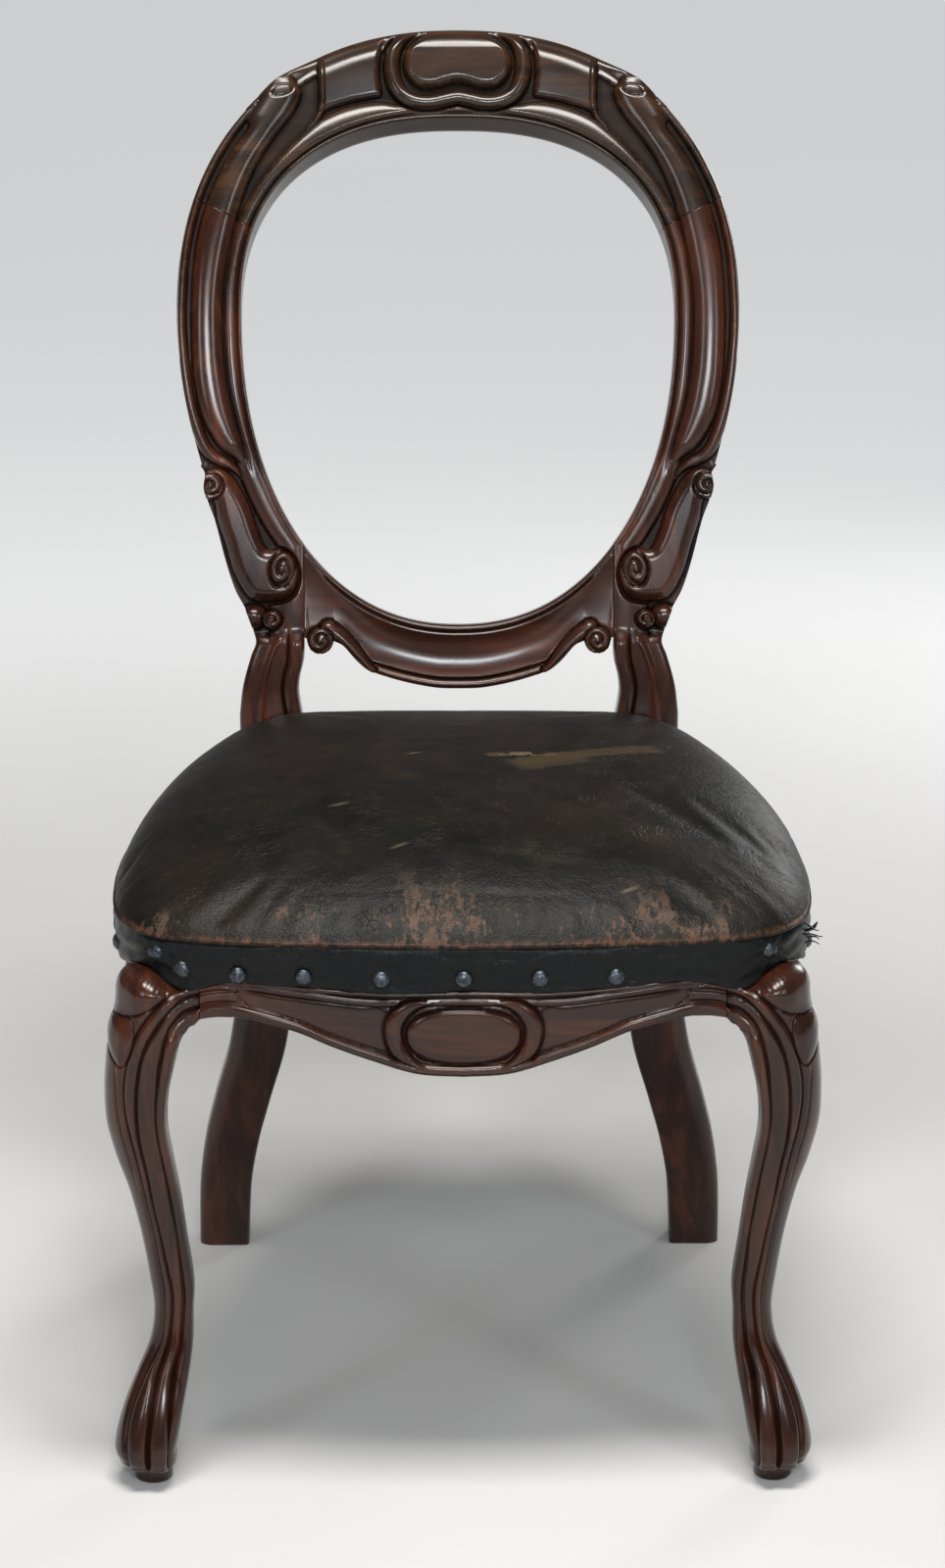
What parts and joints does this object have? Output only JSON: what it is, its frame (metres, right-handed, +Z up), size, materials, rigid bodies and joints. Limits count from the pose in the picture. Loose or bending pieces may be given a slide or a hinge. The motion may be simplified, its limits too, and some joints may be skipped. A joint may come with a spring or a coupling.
{
  "type": "balloon back dining chair",
  "caption": "Victorian balloon back dining chair in carved dark mahogany, with cabriole front legs and an over-stuffed dark leather seat fixed with dome nails",
  "frame": {"origin": "middle of the chair's outside box, on the floor", "axes": "+Z up, -Y towards the front of the seat, +X to the right as seen from the front"},
  "size_m": [0.476, 0.5826, 0.93],
  "materials": {
    "mahogany": "french polished, glossy, worn",
    "beech": "sawn and planed, unpolished",
    "seat_leather": "worn and scuffed, half glossy",
    "horsehair": "matted curled hair under wadding",
    "webbing": "woven jute",
    "hessian": "coarse plain weave",
    "nail_metal": "dull, darkened",
    "screw_steel": "dull"
  },
  "bodies": {
    "root": {"crest_rail": "mahogany", "right_back_post": "mahogany", "left_back_post": "mahogany", "cross_rail": "mahogany", "front_seat_rail": "mahogany", "right_front_leg": "mahogany", "left_front_leg": "mahogany", "right_seat_rail": "mahogany", "left_seat_rail": "mahogany", "back_seat_rail": "mahogany", "right_front_corner_block": "beech", "left_front_corner_block": "beech", "right_back_corner_block": "beech", "left_back_corner_block": "beech", "right_front_corner_screw_1": "screw_steel", "right_front_corner_screw_2": "screw_steel", "left_front_corner_screw_1": "screw_steel", "left_front_corner_screw_2": "screw_steel", "right_back_corner_screw_1": "screw_steel", "right_back_corner_screw_2": "screw_steel", "left_back_corner_screw_1": "screw_steel", "left_back_corner_screw_2": "screw_steel", "right_crest_dowel_1": "beech", "right_crest_dowel_2": "beech", "left_crest_dowel_1": "beech", "left_crest_dowel_2": "beech", "webbing_lengthwise_1": "webbing", "webbing_lengthwise_2": "webbing", "webbing_lengthwise_3": "webbing", "webbing_crosswise_1": "webbing", "webbing_crosswise_2": "webbing", "webbing_crosswise_3": "webbing", "hessian": "hessian", "stuffing_pad": "horsehair", "seat_cover": "seat_leather", "leather_band": "seat_leather", "nail_1": "nail_metal", "nail_2": "nail_metal", "nail_3": "nail_metal", "nail_4": "nail_metal", "nail_5": "nail_metal", "nail_6": "nail_metal", "nail_7": "nail_metal", "nail_8": "nail_metal", "nail_9": "nail_metal", "nail_10": "nail_metal", "nail_11": "nail_metal", "nail_12": "nail_metal", "nail_13": "nail_metal", "nail_14": "nail_metal", "nail_15": "nail_metal", "nail_16": "nail_metal", "nail_17": "nail_metal", "nail_18": "nail_metal", "nail_19": "nail_metal", "nail_20": "nail_metal", "nail_21": "nail_metal", "nail_22": "nail_metal"}
  },
  "joints": []
}
